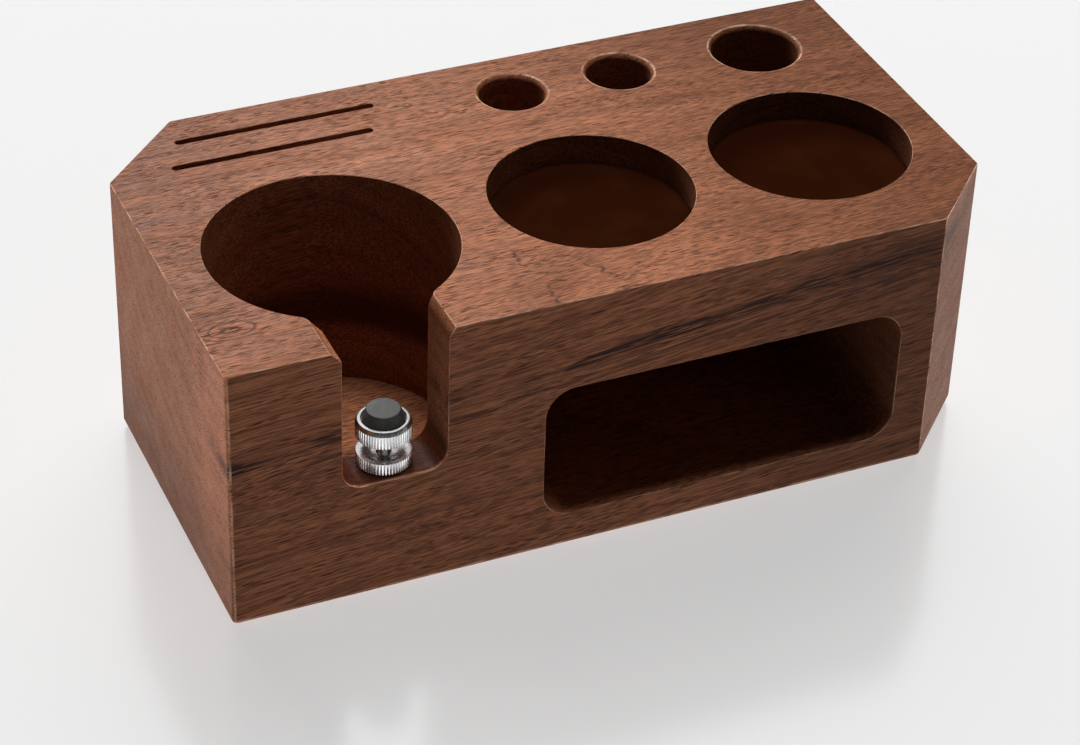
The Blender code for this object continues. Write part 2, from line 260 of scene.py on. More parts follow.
def rim(radius: float, height: float, break_radius: float, beyond: float, steps: int = 4) -> list[Point2]:
    """Profile of a round cutter whose mouth opens out into a rounded rim.

    Args:
        radius: Radius of the hole.
        height: Height of the surface over the hole's floor.
        break_radius: Radius of the rounded rim.
        beyond: How far the cutter reaches past the surface.
        steps: Straight pieces in the round.

    Returns:
        (radius, height) points from the floor up.
    """
    middle = (radius + break_radius, height - break_radius)
    curve = arc(middle, break_radius, math.pi, math.pi / 2, steps)
    return [(radius, 0.0), *curve, (radius + break_radius, height + beyond)]


def flare(break_radius: float, steps: int = 4) -> list[Point2]:
    """How a mouth opens out as it nears the surface: (distance below the surface, growth) points."""
    angles = [math.pi / 2 * step / steps for step in range(steps + 1)]
    return [(break_radius * (1 - math.sin(a)), break_radius * (1 - math.cos(a))) for a in angles]


def smooth(body: Piece, sharp: float = 32.0) -> Piece:
    """Shades a piece smooth, with creases where it turns sharply.

    Args:
        body: The piece.
        sharp: Angle in degrees from which an edge stays a crease.

    Returns:
        The same piece.
    """
    body.data.shade_smooth()
    body.data.set_sharp_from_angle(angle=math.radians(sharp))
    return body


def keep_flats(body: Piece) -> Piece:
    """Keeps a piece's broad flat faces flat where they run into rounded edges.

    Args:
        body: The piece.

    Returns:
        The same piece.
    """
    weigh = body.modifiers.new("flat_faces", "WEIGHTED_NORMAL")
    weigh.keep_sharp = True
    weigh.weight = 100
    return body


# Finishes


class NodeBench:
    """One material's node tree, with short ways to add the nodes that the finishes share."""

    def __init__(self, name: str) -> None:
        """Starts a material that holds only a shader, its output and the place on the piece in mm.

        Args:
            name: Name of the material.
        """
        self.material = bpy.data.materials.new(name)
        self.material.use_nodes = True
        self.tree = self.material.node_tree
        self.tree.nodes.clear()
        self.shader = self.add("ShaderNodeBsdfPrincipled")
        self.add("ShaderNodeOutputMaterial", {"Surface": self.shader.outputs["BSDF"]})
        metres = self.add("ShaderNodeTexCoord").outputs["Object"]
        self.place = self.vector("MULTIPLY", metres, (1 / MM,) * 3)

    def add(
        self, kind: str, feeds: dict[str | int, Feed] | None = None, **settings: object
    ) -> bpy.types.Node:
        """Adds a node, sets it up and feeds its inputs.

        Args:
            kind: Blender's name for the node.
            feeds: Value or socket for each input, by its name or number.
            settings: Properties of the node itself.

        Returns:
            The new node.
        """
        node = self.tree.nodes.new(kind)
        for name, value in settings.items():
            setattr(node, name, value)
        self.feed(node, feeds or {})
        return node

    def feed(self, node: bpy.types.Node, feeds: dict[str | int, Feed]) -> None:
        """Links each socket given to an input, and sets each plain value.

        Args:
            node: The node that is fed.
            feeds: Value or socket for each input, by its name or number.
        """
        for key, value in feeds.items():
            if isinstance(value, Socket):
                self.tree.links.new(value, node.inputs[key])
            else:
                node.inputs[key].default_value = value

    def math(self, operation: str, first: Feed, second: Feed = 0.0) -> Socket:
        """The result of one of Blender's sums on two numbers."""
        return self.add("ShaderNodeMath", {0: first, 1: second}, operation=operation).outputs[0]

    def plus(self, first: Feed, second: Feed) -> Socket:
        """The sum of two numbers."""
        return self.math("ADD", first, second)

    def minus(self, first: Feed, second: Feed) -> Socket:
        """The first number less the second."""
        return self.math("SUBTRACT", first, second)

    def times(self, *factors: Feed) -> Socket:
        """The product of two or more numbers."""
        return reduce(lambda first, second: self.math("MULTIPLY", first, second), factors)

    def vector(self, operation: str, first: Feed, second: Feed) -> Socket:
        """The result of one of Blender's sums on two vectors."""
        return self.add("ShaderNodeVectorMath", {0: first, 1: second}, operation=operation).outputs["Vector"]

    def length(self, vector: Feed) -> Socket:
        """How long a vector is."""
        return self.add("ShaderNodeVectorMath", {0: vector}, operation="LENGTH").outputs["Value"]

    def noise(
        self, place: Feed, size: Feed, detail: float = 2.0, roughness: float = 0.5, output: str = "Fac"
    ) -> Socket:
        """Soft noise between 0 and 1.

        Args:
            place: Where on the piece.
            size: Size of its clouds, one for all axes or one for each.
            detail: Number of finer layers.
            roughness: Weight of the finer layers.
            output: Fac for one number, or Color for three.

        Returns:
            The socket with the noise.
        """
        feeds = {"Vector": self.vector("DIVIDE", place, triple(size)), "Scale": 1.0}
        feeds |= {"Detail": detail, "Roughness": roughness}
        return self.add("ShaderNodeTexNoise", feeds).outputs[output]

    def line_noise(self, value: Feed, scale: float, detail: float) -> Socket:
        """Noise along one number, with so many clouds for each unit of it."""
        feeds = {"W": value, "Scale": scale, "Detail": detail}
        return self.add("ShaderNodeTexNoise", feeds, noise_dimensions="1D").outputs["Fac"]

    def cells(self, place: Feed, size: Feed) -> Socket:
        """Distance to the nearest of many scattered points, set about one size apart."""
        feeds = {"Vector": self.vector("DIVIDE", place, triple(size)), "Scale": 1.0, "Randomness": 1.0}
        return self.add("ShaderNodeTexVoronoi", feeds).outputs["Distance"]

    def fade(self, value: Feed, low: float, high: float, to: Point2 = (0.0, 1.0)) -> Socket:
        """Eases a number from one range to another, and holds it there.

        Args:
            value: The number.
            low: Where the range starts.
            high: Where it ends.
            to: Result at each end.

        Returns:
            The socket with the result.
        """
        feeds = {"Value": value, "From Min": low, "From Max": high, "To Min": to[0], "To Max": to[1]}
        return self.add("ShaderNodeMapRange", feeds, interpolation_type="SMOOTHSTEP").outputs["Result"]

    def sawtooth(self, turns: Feed, start: float, peak: float, end: float) -> Socket:
        """A line in each whole turn, that grows slowly and ends fast.

        Args:
            turns: The number that the lines are counted along.
            start: Share of the turn at which a line starts.
            peak: Share at which it is full.
            end: Share at which it is gone.

        Returns:
            How much of a line is there, from 0 to 1.
        """
        part = self.math("FRACT", turns)
        return self.times(self.fade(part, start, peak), self.fade(part, peak, end, FALL))

    def blend(self, share: Feed, first: Feed, second: Feed, mode: str = "MIX") -> Socket:
        """Mixes two colours.

        Args:
            share: Share of the second colour.
            first: First colour.
            second: Second colour.
            mode: Blender's name for the way of mixing.

        Returns:
            The socket with the mixed colour.
        """
        feeds = {0: share, 6: paint(first), 7: paint(second)}
        return self.add("ShaderNodeMix", feeds, data_type="RGBA", blend_type=mode).outputs[2]

    def tint(self, share: Feed, colour: Feed, factor: Feed) -> Socket:
        """Multiplies a share of a colour by another."""
        return self.blend(share, colour, self.blend(1.0, colour, factor, "MULTIPLY"))

    def partly(self, share: Feed, factor: Feed) -> Socket:
        """A factor that counts only where the share is 1, and is 1 where the share is 0."""
        return self.add("ShaderNodeMix", {0: share, 2: 1.0, 3: factor}, data_type="FLOAT").outputs[0]

    def relief(self, height: Feed, depth: float, strength: float) -> None:
        """Feeds a bump to the shader.

        Args:
            height: Height over the surface, from 0 to 1.
            depth: What a height of 1 stands for, in metres.
            strength: How much of the bump shows.
        """
        bump = self.add("ShaderNodeBump", {"Height": height, "Distance": depth, "Strength": strength})
        self.feed(self.shader, {"Normal": bump.outputs["Normal"]})

    def finish(
        self, colour: Feed, roughness: Feed, specular: float = 0.5, metallic: float = 0.0
    ) -> Material:
        """Sets the shader.

        Args:
            colour: Base colour.
            roughness: Roughness, from 0 to 1.
            specular: Strength of its reflections; 0.5 is usual.
            metallic: 1 for metal.

        Returns:
            The finished material.
        """
        feeds = {"Base Color": paint(colour), "Roughness": roughness}
        self.feed(self.shader, feeds | {"Specular IOR Level": specular, "Metallic": metallic})
        return self.material


def paint(value: Feed) -> Feed:
    """A colour of three numbers with its alpha added; anything else as it is."""
    return (*value, 1.0) if isinstance(value, tuple) and len(value) == 3 else value


def triple(size: Feed) -> Feed:
    """One number as three of the same; anything else as it is."""
    return (size,) * 3 if isinstance(size, float) else size


@dataclass(frozen=True)
class HeartStreak:
    """A dark band of heartwood, by its distance from the pith and its thickness in mm."""

    level: float
    width: float
    strength: float


@dataclass(frozen=True)
class Knot:
    """A small knot that the grain runs round, by its place in mm from under the block's middle."""

    place: Corner
    reach: Corner
    lift: float


@dataclass(frozen=True)
class Kink:
    """A thin dark line that wriggles across the grain, by its middle, half length and slant, in mm."""

    place: Point2
    half_length: float
    slant: float


@dataclass(frozen=True)
class Walnut:
    """Oiled walnut cut from one solid piece, so that its grain runs on from face to face.

    Places and sizes are in mm. The pith lies above the block, a little in front of its middle, and rises to
    the right. A size of a pattern is given along the grain and then across it, twice.
    """

    light: Colour = (0.360, 0.138, 0.068)
    middle: Colour = (0.270, 0.096, 0.045)
    dark: Colour = (0.120, 0.038, 0.017)
    streak: Colour = (0.040, 0.016, 0.014)
    # Lighter colour of the broken edges: rubbed wear and painted highlight.
    rubbed_wear_and_highlight: Colour = (0.62, 0.36, 0.24)
    loop: Colour = (0.070, 0.022, 0.011)
    pore: Colour = (0.075, 0.024, 0.012)
    # Painted shade for the shelf and the foot of the well, and painted light for the well's left wall.
    painted_well_shade: Colour = (0.20, 0.11, 0.07)
    painted_well_wall_light: Colour = (1.75, 1.75, 1.8)
    specular: float = 0.08

    pith: Corner = (0.0, -50.0, 165.0)
    rise: float = 5.5
    swing: float = 2.0
    sway: float = 6.0
    sway_size: Corner = (110.0, 34.0, 34.0)
    ripple: float = 2.2
    ripple_size: Corner = (24.0, 5.0, 5.0)
    ring_width: float = 6.5
    loop_width: float = 2.1
    cloud_size: Corner = (60.0, 9.0, 9.0)
    strand_size: Corner = (24.0, 0.46, 0.46)
    coarse_pore: Corner = (8.0, 0.62, 0.62)
    fine_pore: Corner = (6.0, 0.4, 0.4)
    fine_pore_shift: Corner = (3.0, 7.0, 5.0)
    pore_crowd_size: Corner = (38.0, 2.2, 2.2)

    # Painted shade: the wood is darkened towards the right, the back, the rear of the left part and the foot
    # of the left end, where less light falls.
    right_painted_shade: Ramp = (0.0, 100.0, (1.0, 0.60))
    back_painted_shade: Ramp = (20.0, 62.0, (1.0, 0.84))
    left_part: Ramp = (-118.0, -60.0, FALL)
    left_rear_painted_shade: Ramp = (-50.0, -28.0, (1.0, 0.76))
    end_face: Ramp = (0.4, 0.8, FALL)
    end_foot_painted_shade: Ramp = (4.0, 48.0, (0.58, 1.0))

    streaks: tuple[HeartStreak, ...] = (
        HeartStreak(100.0, 3.4, 1.0),
        HeartStreak(106.0, 1.8, 0.7),
        HeartStreak(119.0, 2.2, 0.35),
        HeartStreak(134.0, 2.6, 0.35),
    )
    streak_depth: Point2 = (4.0, 26.0)
    streak_feather: float = 7.0
    knots: tuple[Knot, ...] = (Knot((-111.0, -44.0, 86.0), (8.5, 4.0, 30.0), 6.0),)
    knot_fall: float = 1.7
    kinks: tuple[Kink, ...] = (
        Kink((-26.0, -40.0), 4.5, -0.3),
        Kink((-23.5, -59.0), 5.5, 0.2),
        Kink((-6.5, -53.0), 5.5, 0.6),
    )
    kink_depth: Point2 = (3.0, 2.0)
    kink_edge: Point2 = (0.25, 0.8)
    kink_wriggle: float = 9.0

    def material(self) -> Material:
        """Builds the material.

        Returns:
            The walnut.
        """
        bench = NodeBench("walnut_oiled")
        layers = WalnutLayers(self, bench)
        pores = layers.pores()
        strands = bench.noise(layers.fibre, self.strand_size, 2.0, 0.6)
        colour = bench.blend(pores, layers.figure_with_painted_light(strands), self.pore)
        patches = bench.noise(bench.place, (30.0, 12.0, 12.0))
        roughness = bench.fade(patches, 0.3, 0.7, (0.42, 0.52))
        bench.relief(bench.minus(bench.times(strands, 0.3), pores), 0.08 * MM, 0.8)
        return bench.finish(colour, bench.plus(roughness, bench.times(pores, 0.2)), self.specular)


class WalnutLayers:
    """The layers of the walnut, each worked out from where a point lies in the tree or in the block; some of
    them are painted shade, painted light and painted highlights.
    """

    def __init__(self, wood: Walnut, bench: NodeBench) -> None:
        """Works out the place along the fibres, the distance from the pith, and how near a knot is.

        Args:
            wood: The wood's colours and sizes.
            bench: The material's nodes.
        """
        self.wood, self.bench = wood, bench
        self.low, self.high = (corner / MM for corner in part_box("wood_block"))
        self.x, self.y, self.z = bench.add("ShaderNodeSeparateXYZ", {0: bench.place}).outputs
        slow = bench.noise(bench.place, wood.sway_size, 1.5, output="Color")
        slow = bench.vector("SUBTRACT", slow, (0.5,) * 3)
        sway = bench.vector("MULTIPLY", slow, (0.0, wood.sway, wood.sway))
        turn = (0.0, math.radians(wood.rise), math.radians(-wood.swing))
        feeds = {"Vector": bench.vector("ADD", bench.place, sway), "Rotation": turn}
        self.fibre = bench.add("ShaderNodeMapping", feeds).outputs["Vector"]
        across = bench.vector("MULTIPLY", bench.vector("SUBTRACT", self.fibre, wood.pith), (0.0, 1.0, 1.0))
        ripple = bench.minus(bench.noise(self.fibre, wood.ripple_size), 0.5)
        self.ring = bench.plus(bench.length(across), bench.times(ripple, wood.ripple))
        self.knot: Feed = 0.0
        for knot in wood.knots:
            away = bench.vector("DIVIDE", bench.vector("SUBTRACT", bench.place, knot.place), knot.reach)
            hump = bench.fade(bench.length(away), 0.0, wood.knot_fall, FALL)
            self.ring = bench.plus(self.ring, bench.times(hump, knot.lift))
            self.knot = bench.math("MAXIMUM", self.knot, hump)

    def pores(self) -> Socket:
        """Open vessels: short dark dashes along the grain, and dots across it.

        Returns:
            How much of a pore is there, from 0 to 1.
        """
        wood, bench = self.wood, self.bench
        coarse = bench.cells(self.fibre, wood.coarse_pore)
        fine = bench.cells(bench.vector("ADD", self.fibre, wood.fine_pore_shift), wood.fine_pore)
        crowd = bench.fade(bench.noise(self.fibre, wood.pore_crowd_size), 0.38, 0.62, (0.35, 1.0))
        large = bench.fade(coarse, 0.22, 0.34, FALL)
        small = bench.fade(fine, 0.20, 0.34, (0.75, 0.0))
        return bench.times(bench.math("MAXIMUM", large, small), crowd)

    def figure_with_painted_light(self, strands: Socket) -> Socket:
        """The colour of the wood between its pores, with painted shade, painted light and painted edge
        highlights laid in.

        Args:
            strands: Fine lines along the grain.

        Returns:
            The colour.
        """
        wood, bench = self.wood, self.bench
        turns = bench.math("DIVIDE", self.ring, wood.ring_width)
        years = bench.fade(bench.line_noise(turns, 0.9, 1.0), 0.3, 0.7)
        cloud = bench.noise(self.fibre, wood.cloud_size, 3.0)
        tone = bench.plus(bench.times(years, 0.35), bench.times(cloud, 0.65))
        late = bench.times(bench.sawtooth(turns, 0.4, 0.96, 1.0), bench.fade(cloud, 0.35, 0.6, (0.08, 0.34)))
        colour = bench.blend(late, bench.blend(tone, wood.light, wood.middle), wood.dark)
        loops = bench.sawtooth(bench.math("DIVIDE", self.ring, wood.loop_width), 0.45, 0.85, 0.99)
        broken = bench.fade(bench.noise(bench.place, (5.0, 3.0, 3.0)), 0.28, 0.44)
        loops = bench.times(loops, bench.fade(self.knot, 0.10, 0.30), broken, 0.9)
        colour = bench.blend(loops, colour, wood.loop)
        colour = bench.blend(self.kinks(), colour, wood.loop)
        grain_and_painted_shade = self.grain_and_painted_shade(strands)
        grey = bench.add("ShaderNodeCombineColor", {0: grain_and_painted_shade, 1: grain_and_painted_shade, 2: grain_and_painted_shade}).outputs[0]
        # Grain colour times painted shade, then heartwood streaks, painted well shade and light, and the
        # painted edge highlight.
        return self.rub_and_highlight_edges(self.paint_well_shade_and_light(self.stain(bench.blend(1.0, colour, grey, "MULTIPLY"))))

    def grain_and_painted_shade(self, strands: Socket) -> Socket:
        """How light the wood is: its fine lines, and painted shade that darkens it towards the right, the
        back, the rear of its left part and the foot of its left end.

        Args:
            strands: Fine lines along the grain.

        Returns:
            The factor on its colour.
        """
        wood, bench = self.wood, self.bench
        from_end = bench.minus(self.x, self.low.x)
        # Fine grain lines, times the painted shade of the four ramps.
        return bench.times(
            bench.fade(strands, 0.34, 0.66, (0.62, 1.38)),
            bench.fade(self.x, *wood.right_painted_shade),
            bench.partly(bench.fade(self.x, *wood.left_part), bench.fade(self.y, *wood.left_rear_painted_shade)),
            bench.partly(bench.fade(from_end, *wood.end_face), bench.fade(self.z, *wood.end_foot_painted_shade)),
            bench.fade(self.y, *wood.back_painted_shade),
        )

    def rub_and_highlight_edges(self, colour: Socket) -> Socket:
        """Lightens the broken edges of the top and the front: wear where the oil has rubbed off, and a
        painted highlight where the edges catch the light.

        Args:
            colour: The wood's colour without it.

        Returns:
            The colour with the worn edges and their painted highlight.
        """
        bench = self.bench
        # A thin band along the top and front edges: rubbed wear and painted highlight, broken up by noise.
        below = bench.minus(self.high.z, self.z)
        behind = bench.minus(self.y, self.low.y)
        edges = [
            bench.times(bench.fade(depth, 0.01, 0.05), bench.fade(depth, 0.22, 0.34, FALL))
            for depth in (below, behind)
        ]
        patchy = bench.fade(bench.noise(bench.place, 7.0, 3.0), 0.38, 0.62, (0.2, 0.85))
        return bench.blend(bench.times(bench.math("MAXIMUM", *edges), patchy), colour, self.wood.rubbed_wear_and_highlight)

    def paint_well_shade_and_light(self, colour: Socket) -> Socket:
        """Paints shade on the shelf and at the foot of the well, and paints light on the well's left wall.

        Args:
            colour: The wood's colour without it.

        Returns:
            The colour with both.
        """
        bench = self.bench
        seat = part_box("lock_nut")[0].z / MM
        x = bench.minus(self.x, round_of("support_head").axis[0] / MM)
        y = bench.minus(self.y, self.low.y)
        z = bench.minus(self.z, seat)
        sides = bench.fade(bench.math("ABSOLUTE", x), 38.0, 40.0, FALL)
        well = bench.times(sides, bench.fade(y, 0.5, 1.2), bench.fade(y, 90.0, 100.0, FALL))
        foot = bench.times(bench.fade(z, -9.0, -3.0), bench.fade(z, 1.0, 14.0, FALL))
        front = bench.fade(y, 30.0, 80.0, (1.0, 0.85))
        # Painted shade on the shelf and at the foot of the well, a little less towards the back.
        colour = bench.tint(bench.times(well, foot, front), colour, self.wood.painted_well_shade)
        # Painted light on the well's left wall.
        top = self.high.z - seat
        wall = bench.times(bench.fade(z, 4.0, 24.0), bench.fade(z, top - 1.4, top - 0.6, FALL))
        left = bench.fade(x, -36.0, -2.0, FALL)
        return bench.tint(bench.times(well, wall, left), colour, self.wood.painted_well_wall_light)

    def kinks(self) -> Socket:
        """Thin dark lines that wriggle across the grain of the top.

        Returns:
            How much of a line is there, from 0 to 1.
        """
        wood, bench = self.wood, self.bench
        wave = bench.minus(bench.noise(bench.place, (25.0, 2.4, 25.0), 1.0), 0.5)
        wriggle = bench.times(wave, wood.kink_wriggle)
        faint = bench.fade(bench.noise(bench.place, (4.0, 2.0, 4.0), 1.0), 0.32, 0.50, (0.4, 0.75))
        deep, shallow = (self.high.z - depth for depth in wood.kink_depth)
        most: Feed = 0.0
        for kink in wood.kinks:
            across = bench.minus(self.y, kink.place[1])
            along = bench.minus(self.x, kink.place[0])
            along = bench.plus(along, bench.times(across, kink.slant))
            along = bench.plus(along, wriggle)
            thin = bench.fade(bench.math("ABSOLUTE", along), *wood.kink_edge, FALL)
            end = kink.half_length
            ends = bench.fade(bench.math("ABSOLUTE", across), 0.7 * end, end, FALL)
            most = bench.math("MAXIMUM", most, bench.times(thin, ends))
        return bench.times(most, faint, bench.fade(self.z, deep, shallow))

    def stain(self, colour: Socket) -> Socket:
        """Lays the dark heartwood streaks over the front of the block.

        Args:
            colour: The wood's colour without them.

        Returns:
            The colour with the streaks.
        """
        wood, bench = self.wood, self.bench
        start, end = (self.low.y + depth for depth in wood.streak_depth)
        near = bench.fade(self.y, start, end, FALL)
        feather = bench.minus(bench.noise(self.fibre, (30.0, 0.9, 0.9), 3.0, 0.65), 0.5)
        feather = bench.times(feather, wood.streak_feather)
        broken = bench.fade(bench.noise(self.fibre, (30.0, 6.0, 6.0)), 0.30, 0.48)
        lines = bench.fade(bench.noise(self.fibre, (16.0, 0.7, 0.7)), 0.40, 0.52, (0.2, 1.0))
        for streak in wood.streaks:
            off = bench.math("ABSOLUTE", bench.minus(self.ring, streak.level))
            off = bench.plus(off, feather)
            band = bench.fade(off, 0.2 * streak.width, streak.width, (streak.strength, 0.0))
            colour = bench.blend(bench.times(band, near, broken, lines), colour, wood.streak)
        return colour


@dataclass(frozen=True)
class Liner:
    """Thin smooth leather, dyed dark brown."""

    colour: Colour = (0.020, 0.0045, 0.0014)
    worn: Colour = (0.028, 0.0068, 0.0022)

    def material(self) -> Material:
        """Builds the material.

        Returns:
            The leather.
        """
        bench = NodeBench("liner_leather")
        wear = bench.fade(bench.noise(bench.place, 18.0, 3.0), 0.4, 0.7)
        roughness = bench.fade(bench.noise(bench.place, 9.0), 0.3, 0.7, (0.58, 0.7))
        bench.relief(bench.cells(bench.place, 0.8), 0.05 * MM, 0.35)
        return bench.finish(bench.blend(wear, self.colour, self.worn), roughness, 0.0)


@dataclass(frozen=True)
class Rubber:
    """Moulded rubber with a fine dull skin."""

    name: str
    colour: Colour
    dust: Colour
    roughness: float

    def material(self) -> Material:
        """Builds the material.

        Returns:
            The rubber.
        """
        bench = NodeBench(self.name)
        patches = bench.noise(bench.place, 2.2, 3.0)
        colour = bench.blend(bench.fade(patches, 0.35, 0.75), self.colour, self.dust)
        roughness = bench.fade(patches, 0.3, 0.7, (self.roughness - 0.06, self.roughness + 0.06))
        bench.relief(bench.noise(bench.place, 0.25, 2.0, 0.6), 0.02 * MM, 0.5)
        return bench.finish(colour, roughness, 0.4)


class Turning(Enum):
    """How a turned metal surface is left, by the roughness it keeps."""

    POLISHED = 0.2
    FINE = 0.18
    MACHINED = 0.3


@dataclass(frozen=True)
class TurnedMetal:
    """Metal off a lathe: fine rings round the axis under its polish."""

    name: str
    colour: Colour
    turning: Turning
    axis: Point2
    smear: float = 0.09
    smear_tint: float = 0.86

    def material(self) -> Material:
        """Builds the material.

        Returns:
            The metal.
        """
        bench = NodeBench(self.name)
        middle = (self.axis[0] / MM, self.axis[1] / MM, 0.0)
        flat = bench.vector("MULTIPLY", bench.vector("SUBTRACT", bench.place, middle), (1.0, 1.0, 0.0))
        smears = bench.noise(bench.place, 1.6, 3.0)
        rough = self.turning.value
        roughness = bench.fade(smears, 0.35, 0.7, (rough, rough + self.smear))
        tint = tuple(self.smear_tint * part for part in self.colour)
        colour = bench.blend(bench.fade(smears, 0.3, 0.8), self.colour, tint)
        bench.relief(bench.line_noise(bench.length(flat), 9.0, 2.0), 0.01 * MM, 0.5)
        return bench.finish(colour, roughness, metallic=1.0)


@dataclass(frozen=True)
class StudioBoard:
    """The glossy white board that the block stands on."""

    colour: Colour = (0.56, 0.56, 0.56)
    roughness: float = 0.17
    gloss: float = 1.0

    def material(self) -> Material:
        """Builds the material."""
        return NodeBench("studio_board").finish(self.colour, self.roughness, self.gloss)


# The station's parts


def dress(piece: Piece, material: Material, slot: str, body: str, *nodes: str) -> None:
    """Gives a piece its material, hangs it on its body, and lets it stand for its nodes.

    Args:
        piece: The new piece.
        material: Its finish.
        slot: The record's name for that finish; not used.
        body: The body that it moves with.
        nodes: The CAD nodes that it replaces.
    """
    piece.data.materials.clear()
    piece.data.materials.append(material)
    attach(piece, body)
    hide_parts(*nodes)


@dataclass(frozen=True)
class Round:
    """A round node as its box shows it: its radius, the heights of its foot and top, and its axis."""

    radius: float
    base: float
    top: float
    axis: Point2

    @property
    def height(self) -> float:
        """How tall it is."""
        return self.top - self.base


def round_of(node: str) -> Round:
    """Reads a round node's box."""
    low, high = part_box(node)
    return Round((high.x - low.x) / 2, low.z, high.z, ((low.x + high.x) / 2, (low.y + high.y) / 2))


def opening(name: str) -> tuple[Vector, Vector]:
    """Reads one of the record's openings.

    Args:
        name: The opening's name.

    Returns:
        Its lowest and its highest corner.
    """
    boxes = {entry["name"]: entry["box_m"] for entry in frame["record"]["physics"]["openings"]}
    low, high = boxes[name]
    return Vector(low), Vector(high)


@dataclass
class WalnutBlock:
    """The block with all its cuts, in metres. Plan sizes run from its front left corner."""

    front_right_cut: float = 23.0 * MM
    rear_left_cut: float = 26.3 * MM
    corner_radius: float = 1.3 * MM
    bottom_round: float = 2.0 * MM
    edge_break: float = 0.35 * MM
    rim_break: float = 0.3 * MM
    slot_break: float = 0.25 * MM
    well_steps: int = 140
    neck_steps: int = 8
    well_radius: float = 36.2 * MM
    well_floor: float = 13.5 * MM
    neck_width: float = 30.8 * MM
    shelf_height: float = 38.4 * MM
    shelf_fillet: float = 6.0 * MM
    neck_chamfers: Point2 = (3.2 * MM, 2.0 * MM)
    neck_corner: float = 3.5 * MM
    liner_gap: float = 0.3 * MM
    rim_round: float = 1.7 * MM
    bore_radii: tuple[float, ...] = (9.95 * MM, 9.95 * MM, 13.35 * MM)
    bore_depths: tuple[float, ...] = (40.0 * MM, 40.0 * MM, 42.0 * MM)
    slot_width: float = 2.5 * MM
    slot_length: float = 61.7 * MM
    slot_depth: float = 25.0 * MM
    slot_from_back: float = 12.3 * MM
    slot_spacing: float = 13.1 * MM
    slot_starts: Point2 = (24.0 * MM, 18.9 * MM)
    bay_mouth: tuple[float, float, float, float] = (92.9 * MM, 204.9 * MM, 11.4 * MM, 55.5 * MM)
    bay_depth: float = 84.25 * MM
    bay_corner: float = 9.0 * MM
    foot_gap: float = 0.3 * MM
    stud_gap: float = 0.3 * MM
    overcut: float = 5.0 * MM
    recess_facets: int = 160
    bore_facets: int = 112
    foot_facets: int = 72
    stud_facets: int = 64
    low: Vector = field(default_factory=lambda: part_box("wood_block")[0])
    high: Vector = field(default_factory=lambda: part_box("wood_block")[1])

    def build(self) -> Piece:
        """Lofts the block, makes every cut and breaks its edges.

        Returns:
            The block.
        """
        block = self.body()
        cut(block, [self.well(), self.neck_mouth(), self.bay(), *self.round_cuts(), *self.slots()])
        return keep_flats(smooth(block))

    def outline(self, inset: float) -> list[Point2]:
        """The block's plan, moved inwards, with small rounds on its six corners.

        Args:
            inset: How far inwards.

        Returns:
            The outline's points.
        """
        left, front = self.low.x + inset, self.low.y + inset
        right, back = self.high.x - inset, self.high.y - inset
        diagonal = inset * (2 - math.sqrt(2))
        front_cut = self.front_right_cut - diagonal
        rear_cut = self.rear_left_cut - diagonal
        corners = (
            (left, front),
            (right - front_cut, front),
            (right, front + front_cut),
            (right, back),
            (left + rear_cut, back),
            (left, back - rear_cut),
        )
        return rounded([(x, y, self.corner_radius) for x, y in corners])

    def body(self) -> Piece:
        """The uncut block, rounded underneath.

        Returns:
            The block without its cuts.
        """
        rings = []
        for inset, height in arc((self.bottom_round,) * 2, self.bottom_round, 1.5 * math.pi, math.pi, 6):
            rings.append(level(self.outline(inset), self.low.z + height))
        for below, inset in flare(self.edge_break):
            rings.append(level(self.outline(inset), self.high.z - below))
        return loft("walnut_block", rings)

    def well_centre(self) -> Point2:
        """The well's axis: in line with the rest, and with the row of tamper recesses."""
        return (round_of("support_head").axis[0], round_of("tamper_liner_left").axis[1])

    def neck_side(self, half_width: float, side: int, grow: float) -> list[Point2]:
        """One wall of the neck opening in plan: straight from the front, then rounded into the well.

        Args:
            half_width: Distance of the wall from the middle.
            side: 1 for the right wall, -1 for the left.
            grow: How far the outline is moved outwards.

        Returns:
            The wall's points from the front to the well.
        """
        middle, row = self.well_centre()
        centre_x = middle + side * (half_width + self.neck_corner)
        reach = self.well_radius + self.neck_corner
        centre_y = row - math.sqrt(reach**2 - (centre_x - middle) ** 2)
        start = math.pi if side > 0 else 0.0
        end = math.atan2(row - centre_y, middle - centre_x)
        corner = arc((centre_x, centre_y), self.neck_corner - grow, start, end, self.neck_steps)
        return [(middle + side * (half_width + grow), self.low.y - self.overcut)] + corner

    def keyhole(self, z: float, halves: Point2, grow: float = 0.0) -> Ring:
        """The well and its neck opening as one outline.

        Args:
            z: Height of the outline.
            halves: Distance of the neck's left and right wall from the middle.
            grow: How far the outline is moved outwards.

        Returns:
            The outline's points: round the back of the well, and then out and back along the neck.
        """
        left = self.neck_side(halves[0], -1, grow)[::-1]
        right = self.neck_side(halves[1], 1, grow)
        start, end = self.neck_angles(halves)
        back = arc(self.well_centre(), self.well_radius + grow, start, end, self.well_steps)[1:-1]
        return level(back + left + right, z)

    def neck_angles(self, halves: Point2) -> Point2:
        """Angles round the well at which the neck's right and left corners meet it.

        Args:
            halves: Distance of the neck's left and right wall from the middle.

        Returns:
            The right angle, and the left angle a turn on from it.
        """
        reach = self.well_radius + self.neck_corner
        left, right = (math.acos((half + self.neck_corner) / reach) for half in halves)
        return (-right, math.pi + left)

